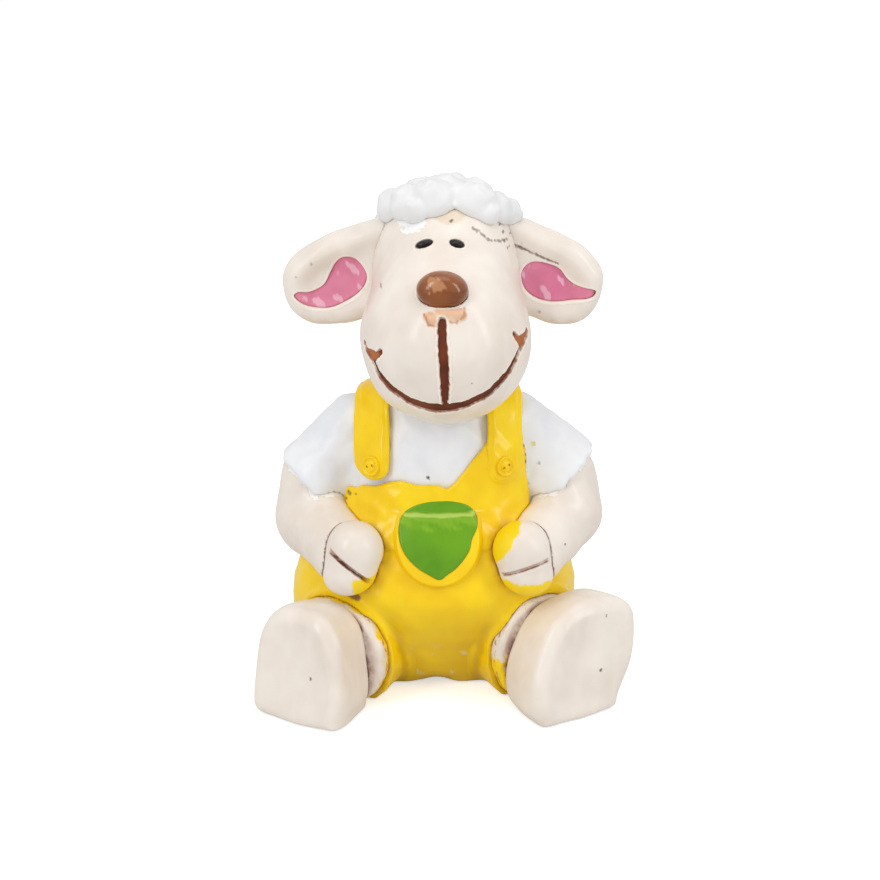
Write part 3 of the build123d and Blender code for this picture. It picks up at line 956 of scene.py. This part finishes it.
def kind(node):
    return node.replace("_right", "").replace("_left", "")


def nearest(p, others):
    """Distance to the nearest of some pieces."""
    d = np.full(len(p), FAR)
    for other in others:
        lo, hi = BOXES[other]
        near = ((p > lo) & (p < hi)).all(1)
        if near.any():
            d[near] = np.minimum(d[near], PIECES[other][0](p[near]))
    return d


# How brown the seams of a piece are, with which neighbours
WASHED = {
    "hand": (1.0, "arm", "trouser_leg", "dungarees"),
    "arm": (0.9, "hand"),
    "foot": (0.4, "cuff", "trouser_leg"),
    "cuff": (0.6, "foot", "trouser_leg", "dungarees"),
    "trouser_leg": (0.65, "cuff", "hand"),
    "dungarees": (0.65, "hand", "cuff"),
}
# Neighbours with no seam at all
CLEAN = {
    "head": ("wool_cap", "nose", "smile_line", "lip_line", "eye"),
    "ear": ("ear_lining", "wool_cap"),
    "ear_lining": ("ear",),
    "wool_cap": ("ear", "head"),
    "nose": ("head",),
    "eye": ("head",),
    "pocket_patch": ("pocket_rim", "dungarees"),
    "trouser_leg": ("dungarees",),
    "dungarees": ("trouser_leg", "shirt", "strap"),
    "shirt": ("dungarees", "head"),
    "strap": ("dungarees",),
}
# How brown the hollows of a piece itself are, where it isn't 0.3
OWN_WASH = {
    "hand": 1.0, "cuff": 0.5, "ear": 0.6, "foot": 0.4, "smile_line": 0.6, "lip_line": 0.6, "pocket_patch": 0,
}


def wash_of(node, v, n):
    """How much brown wash stays in the seams and hollows of a piece."""
    k = kind(node)
    grade, *brown_kinds = WASHED.get(k, (0,))
    clean_kinds = CLEAN.get(k, ())
    strong = [o for o in PIECES if o != node and kind(o) in brown_kinds]
    weak = [o for o in PIECES if o not in (node, "neck", *strong) and kind(o) not in clean_kinds]
    amount = np.zeros(len(v))
    for reach, share in ((0.35, 1.1), (0.9, 0.9)):
        q = v + n * reach
        near_strong = grade * (1 - nearest(q, strong) / reach)
        near_weak = 0.28 * (1 - nearest(q, weak) / reach)
        own = OWN_WASH.get(k, 0.3) * (1 - in_chunks(PIECES[node][0], q) / reach)
        amount = np.maximum(amount, share * np.maximum(np.maximum(near_strong, near_weak), own))
    return np.clip(amount - 0.12, 0, 1)


def linear(r, g, b):
    """A colour written as it looks, as linear light."""
    return tuple(((c / 255 + 0.055) / 1.055) ** 2.4 if c > 10 else c / 255 / 12.92 for c in (r, g, b))


class Tint:
    """Paint laid over a piece in places, painted highlights and painted shade among it, kept as a colour
    with its cover.
    """

    def __init__(self, count):
        self.rgb = np.zeros((count, 3))
        self.cover = np.zeros(count)

    def lay(self, colour, mask):
        """Covers what is there with a colour, as far as the mask says."""
        mask = np.clip(mask, 0, 1)
        self.rgb = np.array(linear(*colour)) * mask[:, None] + self.rgb * (1 - mask)[:, None]
        self.cover = mask + self.cover * (1 - mask)

    def result(self):
        return np.concatenate([self.rgb / np.maximum(self.cover, 1e-6)[:, None], self.cover[:, None]], 1)


edge_noise = wobble(1.6, 0.35, 91)
edge_noise_fine = wobble(0.6, 0.16, 92)
PALE = (250, 240, 228)
TAN = (228, 178, 138)
YELLOW = (252, 216, 20)


def line_mask(p, points, wide):
    """Near a line drawn on the front of the figurine."""
    d = np.full(len(p), FAR)
    for (ax, az), (bx, bz) in zip(points[:-1], points[1:]):
        ex, ez = bx - ax, bz - az
        h = np.clip(((p[:, 0] - ax) * ex + (p[:, 2] - az) * ez) / (ex * ex + ez * ez), 0, 1)
        d = np.minimum(d, np.hypot(p[:, 0] - ax - ex * h, p[:, 2] - az - ez * h))
    return step_down(d + edge_noise_fine(p) * 0.4, wide * 0.4, wide)


def spot_mask(p, x, z, r):
    return step_down(np.hypot(p[:, 0] - x, p[:, 2] - z) + edge_noise_fine(p) * 0.3, r * 0.6, r)


# Pinholes and specks: colour, cover, and the x, z and radius of each
SPOTS = {
    "head": ((104, 88, 76), 0.8, (
        (-7.2, 50.0, 0.16), (6.4, 54.8, 0.2), (6.9, 55.4, 0.18), (6.1, 55.6, 0.15), (7.3, 54.3, 0.2),
        (7.0, 53.2, 0.15), (6.6, 54.0, 0.2), (2.8, 41.2, 0.12),
    )),
    "ear_right": ((150, 132, 116), 0.7, ((-15.3, 50.6, 0.16), (-17.1, 49.0, 0.14))),
    "ear_left": ((150, 132, 116), 0.7, ((9.6, 50.6, 0.14), (10.7, 44.9, 0.2), (8.6, 53.0, 0.16))),
    "dungarees": ((96, 70, 34), 0.75, (
        (-12.1, 24.4, 0.5), (-11.3, 23.7, 0.3), (-11.7, 22.9, 0.2), (-10.5, 23.9, 0.2), (5.5, 18.5, 0.16),
        (9.6, 22.0, 0.2),
    )),
    "shirt": ((74, 58, 48), 1, ((-2.1, 26.9, 0.2), (9.7, 24.8, 0.16), (10.7, 27.2, 0.14))),
    "foot_right": ((110, 92, 80), 1, ((-15.4, 6.0, 0.16),)),
    "foot_left": ((110, 92, 80), 1, ((17.9, 5.4, 0.2), (18.5, 11.5, 0.13))),
}


def tint_of(node, v, n):
    """Paint laps, scuffs, wiped edges and specks of a piece, with its painted highlights and painted shade.
    """
    k = kind(node)
    t = Tint(len(v))
    x, y, z = v.T
    front = n[:, 1] < 0.1
    rough = edge_noise(v) + edge_noise_fine(v)
    if k == "head":
        t.lay(TAN, step_down(nose_bow(v) + rough * 0.2, 0.02, 0.3) * 0.85)
        bow_left = [(-2.3, 48.6), (-1.9, 47.7), (-1.2, 47.6), (-0.9, 48.2)]
        bow_right = [(0.4, 48.0), (1.1, 47.9), (1.9, 48.5), (2.0, 49.2)]
        t.lay((196, 124, 76), line_mask(v, bow_left, 0.17) * 0.8 * front)
        t.lay((206, 140, 96), line_mask(v, bow_right, 0.17) * 0.7 * front)
        grooves = np.minimum(smile_groove(v), lip_groove(v))
        d = np.minimum(nose(v), grooves)
        for side_name in SIDES:
            d = np.minimum(d, EYE_SEATS[side_name](v) + 0.12)
        t.lay(PALE, step_down(d + rough * 0.1, 0.16, 0.42) * 0.85)
        t.lay((150, 84, 48), step_down(grooves + rough * 0.12, -0.02, 0.08) * 0.9)
        t.lay((104, 48, 26), step_down(grooves + rough * 0.12, -0.16, -0.04) * 0.9)
        forehead = np.hypot((x - 0.4) / 1.9, (z - 57.2) / 0.9) + rough * 0.2
        t.lay((224, 206, 182), step_down(forehead, 0.8, 1.1) * front * 0.8)
        smear = np.maximum(np.abs(x + 3.9) - 1.5, 55.2 + 0.4 * np.abs(x + 4.1) - z) + rough * 0.6
        t.lay((247, 247, 247), step_down(smear, -0.1, 0.15) * front)
        t.lay((112, 96, 82), spot_mask(v, 0.6, 56.6, 0.2) * front)
        t.lay((112, 92, 76), line_mask(v, [(3.0, 55.9), (4.9, 54.5), (6.9, 53.9)], 0.14) * 0.7)
    if k == "ear":
        side_name = node[4:]
        d = lining_fields[side_name](x, z)
        t.lay(PALE, step_down(d + rough * 0.1, 0.18, 0.42) * front * 0.85)
        low = step_up(rough + 0.4 - (z - 44.2), 0.0, 1.5)
        t.lay((224, 196, 160), low * 0.5)
        if side_name == "left":
            t.lay((112, 94, 80), line_mask(v, CRACK, 0.17) * front * 0.8)
    if node == "hand_right":
        t.lay(YELLOW, over(x + 10.7 - rough * 0.5) * over(16.6 - z + rough * 0.25))
    if node == "hand_left":
        t.lay(YELLOW, over((z - 16.0) * (8.5 - 4.6) / (22.3 - 16.0) + 4.6 - x + rough * 0.25))
        t.lay(YELLOW, over(16.0 - z + rough * 0.4))
    if k == "arm":
        lap = nearest(v, ["dungarees", "trouser_leg_right", "trouser_leg_left"])
        t.lay(YELLOW, step_down(lap + rough * 0.3 - 0.12, -0.1, 0.1) * step_up(24.5 - z, -0.3, 0.3))
        white = nearest(v, ["shirt"])
        t.lay((246, 244, 241), 1 - over(white + rough * 0.5 - 0.25))
    if k == "cuff":
        u, w, depth = sole_frame(node[5:], v)
        if node == "cuff_left":
            t.lay(YELLOW, step_up(7.6 - w + 0.25 * u + rough * 1.2, -0.15, 0.15))
            t.lay((240, 226, 214), step_up(rough - 0.3, 0.0, 0.1) * 0.8)
        else:
            t.lay(YELLOW, step_up(1.6 - w - (depth + 6.6) * 1.5 + rough * 1.2, -0.15, 0.15) * 0.8)
            t.lay(YELLOW, over(-7.05 - depth + rough * 0.9))
            t.lay((236, 212, 200), step_up(rough + 0.1, -0.1, 0.5) * step_up(9 - w, 0, 3) * 0.5)
        for level, wide in ((-7.25, 0.11), (-7.95, 0.08)):
            near_line = np.abs(depth - level + edge_noise(v) * 0.5)
            broken = step_up(edge_noise_fine(v) + edge_noise(v) * 0.4, -0.1, 0.05)
            t.lay((150, 96, 74), step_down(near_line, wide * 0.4, wide) * broken * 0.9)
    if k in ("dungarees", "trouser_leg"):
        # Painted shade: darker ochre along the creases between belly and legs, low at the front
        low = step_up(-z, -13, -7) * (y < -3)
        for side_name in SIDES:
            crease_shade_gap = np.abs(trunk(v) - CLOTH + 1.6 - leg_limbs[side_name](v)) + rough * 0.3
            t.lay((190, 144, 18), step_down(crease_shade_gap, 0.1, 1.1) * low * 0.55)
        # Painted shade: darker yellow over the low front of the belly, away from the legs
        leg = np.minimum(leg_limbs["right"](v), leg_limbs["left"](v))
        low_front_shade = step_up(-z, -15.0, -10.0) * step_up(-y, 3.0, 7.0)
        t.lay((204, 162, 30), step_up(leg + rough * 0.2, 0.25, 0.9) * low_front_shade * 0.32)
    if k in ("dungarees", "trouser_leg", "cuff", "hand"):
        for sx, sz in ((-10.8, 13.1), (10.5, 13.3)):
            near = np.hypot((x - sx) / 0.9, (z - sz) / 0.45) + rough * 0.5
            t.lay((110, 52, 30), step_down(near, 0.7, 1.1) * front * 0.85)
    # Distance to the pocket's hem line, along which a highlight is painted
    hem_highlight_gap = np.abs(z - HEM_Z + 0.05 + edge_noise(v) * 0.15)
    if k == "pocket_patch":
        # Painted highlight along the hem, and a lighter green fading below it
        t.lay((206, 232, 120), step_down(hem_highlight_gap, 0.05, 0.26) * 0.75)
        t.lay((150, 196, 40), step_up(HEM_Z - z, 0.1, 0.4) * step_down(HEM_Z - z + rough, 0.5, 1.6) * 0.5)
    if k == "nose":
        shine = np.hypot((x + 1.2) / 1.1, (z - 51.9) / 0.8) + rough * 0.9
        t.lay((206, 150, 104), step_down(shine, 0.7, 1.0) * front * 0.55)
        shade = step_up(x + 0.4 - (z - 50.9) * 0.6 + rough * 1.5, 0.2, 2.2)
        t.lay((104, 50, 8), shade * 0.5)
    if k == "smile_line":
        ends = np.minimum(np.hypot(x + 8.1, z - 43.3), np.hypot(x - 8.4, z - 44.9))
        t.lay((186, 110, 62), step_down(ends + rough * 0.5, 0.7, 1.1) * 0.85)
    if k == "ear_lining":
        # Painted glints: pale streaks over the pink lining
        streak = edge_noise(v * (1.0, 1.0, 0.6) + 3.0) + 0.5 * edge_noise_fine(v)
        t.lay((248, 200, 218), step_up(streak, 0.24, 0.42) * 0.65)
    if k == "dungarees":
        inside = step_down(np.abs(x - BODY_X), 4.8, 5.6)
        # Painted highlight along the hem line, across the width of the pocket
        t.lay((255, 240, 140), step_down(hem_highlight_gap, 0.05, 0.22) * inside * 0.6)
        # Painted shade: darker yellow towards the low front
        t.lay((214, 172, 24), step_up(9.0 - z + rough * 2, 0.0, 9.0) * step_up(-y, 2.0, 8.0) * 0.3)
        scuffs = step_up(rough - 0.42, 0.0, 0.12) * step_up(7.5 - z, 0.0, 3.0)
        t.lay((232, 226, 206), scuffs * step_up(-y, 0, 4) * 0.5)
    if k == "shirt":
        t.lay((232, 214, 64), spot_mask(v, 10.1, 29.4, 0.3) * front * 0.9)
    colour, cover, spots = SPOTS.get(node, (PALE, 0, ()))
    for sx, sz, r in spots:
        t.lay(colour, spot_mask(v, sx, sz, r) * front * cover)
    return t.result()


# Materials


def rgb(r, g, b):
    return linear(r, g, b) + (1.0,)


class Paint:
    """A small helper that adds nodes to one material."""

    def __init__(self, name):
        self.material = bpy.data.materials.new(name)
        self.material.use_nodes = True
        self.tree = self.material.node_tree
        self.shader = self.tree.nodes["Principled BSDF"]
        self.place = self.add("TexCoord").outputs["Object"]

    def put(self, value, socket):
        """Sets an input to a value, or links an output to it."""
        if isinstance(value, (int, float, tuple)):
            socket.default_value = value
        else:
            self.tree.links.new(value, socket)

    def add(self, kind_of, **inputs):
        """A new node with its inputs; _ stands for the space in their names."""
        node = self.tree.nodes.new("ShaderNode" + kind_of)
        for name, value in inputs.items():
            self.put(value, node.inputs[name.replace("_", " ")])
        return node

    def noise(self, scale, detail=3.0, rough=0.55, stretch=None):
        place = self.place
        if stretch:
            place = self.add("Mapping", Scale=stretch, Vector=place).outputs["Vector"]
        node = self.add("TexNoise", Scale=scale, Detail=detail, Roughness=rough, Vector=place)
        return node.outputs["Fac"]

    def ramp(self, value, low, high):
        node = self.add("MapRange", From_Min=low, From_Max=high, Value=value)
        node.interpolation_type = "SMOOTHSTEP"
        return node.outputs["Result"]

    def math(self, operation, a, b):
        node = self.add("Math")
        node.operation = operation
        self.put(a, node.inputs[0])
        self.put(b, node.inputs[1])
        return node.outputs[0]

    def times(self, a, b):
        return self.math("MULTIPLY", a, b)

    def attribute(self, name):
        node = self.add("Attribute")
        node.attribute_name = name
        return node

    def mix(self, factor, a, b):
        node = self.add("Mix")
        node.data_type = "RGBA"
        for index, value in ((0, factor), (6, a), (7, b)):
            self.put(value, node.inputs[index])
        return node.outputs[2]

    def specks(self, scale, size, share):
        """Small round dots in a share of the cells."""
        node = self.add("TexVoronoi", Scale=scale, Vector=self.place)
        dot = self.ramp(node.outputs["Distance"], size, size * 0.55)
        red = self.add("SeparateColor", Color=node.outputs["Color"]).outputs[0]
        return self.times(dot, self.ramp(red, 1 - share - 0.02, 1 - share))

    def bump(self, height, depth):
        return self.add("Bump", Strength=1.0, Distance=depth, Height=height).outputs["Normal"]


WASH = rgb(164, 104, 76)
DARK_WASH = rgb(122, 64, 42)


def painted(name, light, deep, rough, coat, wash, specks, brush=0.00002):
    """Brushed acrylic under clear varnish, with a brown wash left in the seams."""
    m = Paint(name)
    colour = m.mix(m.ramp(m.noise(120, 3), 0.35, 0.68), rgb(*light), rgb(*deep))
    streak = m.ramp(m.noise(520, 2, 0.5, (1.0, 1.0, 0.35)), 0.42, 0.7)
    colour = m.mix(m.times(streak, 0.22), colour, rgb(*[min(255, c + 10) for c in light]))
    tint = m.attribute("tint")
    colour = m.mix(tint.outputs["Alpha"], colour, tint.outputs["Color"])
    seam = m.attribute("wash").outputs["Fac"]
    broken = m.ramp(m.noise(900, 4, 0.65), 0.30, 0.62)
    colour = m.mix(m.times(m.times(seam, broken), wash), colour, WASH)
    core = m.times(m.ramp(seam, 0.75, 1.0), m.times(broken, wash * 0.8))
    colour = m.mix(core, colour, DARK_WASH)
    if specks:
        colour = m.mix(m.times(m.specks(210, 0.042, specks), 0.85), colour, DARK_WASH)
    uneven = m.add("MapRange", To_Min=rough - 0.08, To_Max=rough + 0.14, Value=m.noise(300, 3))
    strokes = m.noise(1300, 3, 0.6, (1.0, 1.0, 0.3))
    body = m.noise(420, 2, 0.5)
    values = {
        "Base Color": colour,
        "Roughness": uneven.outputs["Result"],
        "Normal": m.bump(m.math("ADD", m.times(strokes, 0.5), body), brush),
        "Specular IOR Level": 0.15,
        "Coat Weight": coat,
        "Coat Roughness": 0.16,
        "Coat IOR": 1.5,
        "Coat Normal": m.bump(body, brush * 1.4),
    }
    for socket_name, value in values.items():
        m.put(value, m.shader.inputs[socket_name])
    return m.material


# Light and deep colour, roughness, coat, wash, share of specks, and brush marks where not 0.02 mm
PAINTS = {
    "white_paint": ((241, 242, 244), (230, 232, 237), 0.5, 0.2, 0.4, 0.05),
    "wool_paint": ((235, 235, 235), (227, 227, 228), 0.6, 0.08, 0.1, 0),
    "yellow_paint": ((255, 218, 4), (248, 203, 2), 0.34, 0.4, 0.7, 0.12, 0.00003),
    "cream_paint": ((240, 231, 221), (231, 219, 207), 0.42, 0.35, 0.95, 0.12),
    "green_paint": ((106, 166, 0), (88, 148, 0), 0.26, 0.4, 0.15, 0.04),
    "pink_paint": ((232, 138, 168), (218, 116, 150), 0.26, 0.6, 0.2, 0.04),
    "nose_brown_paint": ((150, 82, 18), (122, 58, 8), 0.2, 0.8, 0.2, 0),
    "mouth_brown_paint": ((124, 58, 30), (70, 26, 12), 0.5, 0.15, 0.5, 0.2, 0.00008),
    "eye_black_paint": ((30, 20, 17), (14, 9, 8), 0.3, 0.3, 0.0, 0),
}
MATERIALS = {name: painted(name, *values) for name, values in PAINTS.items()}

SLOT_KINDS = {
    "white_paint": ("shirt", "wool_cap"),
    "cream_paint": ("neck", "arm", "hand", "cuff", "foot", "head", "ear"),
    "yellow_paint": ("dungarees", "pocket_rim", "strap", "button", "trouser_leg"),
    "green_paint": ("pocket_patch",),
    "pink_paint": ("ear_lining",),
    "nose_brown_paint": ("nose",),
    "mouth_brown_paint": ("smile_line", "lip_line"),
    "eye_black_paint": ("eye",),
}
SLOTS = {node: slot for node in PIECES for slot, kinds in SLOT_KINDS.items() if kind(node) in kinds}


def placed(name, data):
    """A new object in the scene."""
    obj = bpy.data.objects.new(name, data)
    bpy.context.scene.collection.objects.link(obj)
    return obj


for node, (form, step) in PIECES.items():
    v, q, n = surface(form, *BOXES[node], step)
    mesh = bpy.data.meshes.new(f"{node}_cast")
    mesh.vertices.add(len(v))
    mesh.vertices.foreach_set("co", (v * MM).astype(np.float32).ravel())
    mesh.loops.add(q.size)
    mesh.loops.foreach_set("vertex_index", q.astype(np.int32).ravel())
    mesh.polygons.add(len(q))
    mesh.polygons.foreach_set("loop_start", np.arange(0, q.size, 4, dtype=np.int32))
    mesh.update(calc_edges=True)
    mesh.shade_smooth()
    layer = mesh.attributes.new("wash", "FLOAT", "POINT")
    layer.data.foreach_set("value", wash_of(node, v, n).astype(np.float32))
    layer = mesh.attributes.new("tint", "FLOAT_COLOR", "POINT")
    layer.data.foreach_set("color", tint_of(node, v, n).astype(np.float32).ravel())
    mesh.materials.append(MATERIALS["wool_paint" if node == "wool_cap" else SLOTS[node]])
    piece = placed(f"{node}_cast", mesh)
    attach(piece, "root")
    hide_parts(node)

# Floor, lights and camera


def nodes_of(owner, *kinds):
    """New nodes in place of all those of a material or world."""
    owner.use_nodes = True
    owner.node_tree.nodes.clear()
    return [owner.node_tree.nodes.new("ShaderNode" + kind_of) for kind_of in kinds]


def shine(node, strength):
    """Sets a light of plain white."""
    node.inputs["Color"].default_value = (1, 1, 1, 1)
    node.inputs["Strength"].default_value = strength


def join(node, *outputs):
    """Links outputs to the first inputs of a node."""
    for index, output in enumerate(outputs):
        node.id_data.links.new(output, node.inputs[index])


floor_mesh = bpy.data.meshes.new("floor")
floor_mesh.from_pydata([(-3, -3, 0), (3, -3, 0), (3, 3, 0), (-3, 3, 0)], [], [(0, 1, 2, 3)])
floor = placed("floor", floor_mesh)
floor.location.z = -0.00002
floor_paint = bpy.data.materials.new("floor_paper")
out, diffuse, glow, add, pick, path = nodes_of(
    floor_paint, "OutputMaterial", "BsdfDiffuse", "Emission", "AddShader", "MixShader", "LightPath"
)
diffuse.inputs["Color"].default_value = (0.78, 0.78, 0.78, 1)
shine(glow, 0.55)
join(add, diffuse.outputs[0], glow.outputs[0])
join(pick, path.outputs["Is Camera Ray"], diffuse.outputs[0], add.outputs[0])
join(out, pick.outputs[0])
floor_mesh.materials.append(floor_paint)

# Soft light all round, and plain white for what the camera sees, directly or by reflection
world = bpy.data.worlds.new("studio")
bpy.context.scene.world = world
out, soft, white, pick, path, seen, seen_through = nodes_of(
    world, "OutputWorld", "Background", "Background", "MixShader", "LightPath", "Math", "Math"
)
shine(soft, 0.6)
shine(white, 1.0)
seen.operation = seen_through.operation = "MAXIMUM"
join(seen, path.outputs["Is Camera Ray"], path.outputs["Is Glossy Ray"])
join(seen_through, seen.outputs[0], path.outputs["Is Transmission Ray"])
join(pick, seen_through.outputs[0], soft.outputs[0], white.outputs[0])
join(out, pick.outputs[0])


MIDDLE = (0, 0, 0.03)  # what the lamps aim at


def lamp(name, place, wide, tall, power):
    data = bpy.data.lights.new(name, "AREA")
    data.shape = "RECTANGLE"
    data.size, data.size_y = wide, tall
    data.energy = power
    light = placed(name, data)
    light.location = place
    way = Vector(np.array(MIDDLE) - np.array(place))
    light.rotation_euler = way.to_track_quat("-Z", "Y").to_euler()


lamp("softbox_left", (-0.26, -0.26, 0.26), 0.10, 0.30, 0.52)
lamp("softbox_right", (0.30, -0.18, 0.20), 0.06, 0.30, 0.34)
lamp("softbox_top", (0.02, -0.05, 0.42), 0.30, 0.22, 0.34)

# Pixels: the photo's side, and how far the picture is shifted
PHOTO_SIZE = 880
SHIFT_X, SHIFT_Y = -6, -10
DOWN = math.radians(20)  # how far the camera looks down
DISTANCE = 0.2416
AIM_Y, AIM_Z = -0.001, 0.031
camera_data = bpy.data.cameras.new("camera")
camera_data.lens, camera_data.sensor_width = 85, 36
camera_data.clip_start = 0.01
camera_data.shift_x, camera_data.shift_y = SHIFT_X / PHOTO_SIZE, SHIFT_Y / PHOTO_SIZE
camera = placed("camera", camera_data)
camera.location = (0, AIM_Y - DISTANCE * math.cos(DOWN), AIM_Z + DISTANCE * math.sin(DOWN))
camera.rotation_euler = (math.radians(90) - DOWN, 0, 0)
bpy.context.scene.camera = camera
bpy.context.scene.view_settings.view_transform = "Standard"
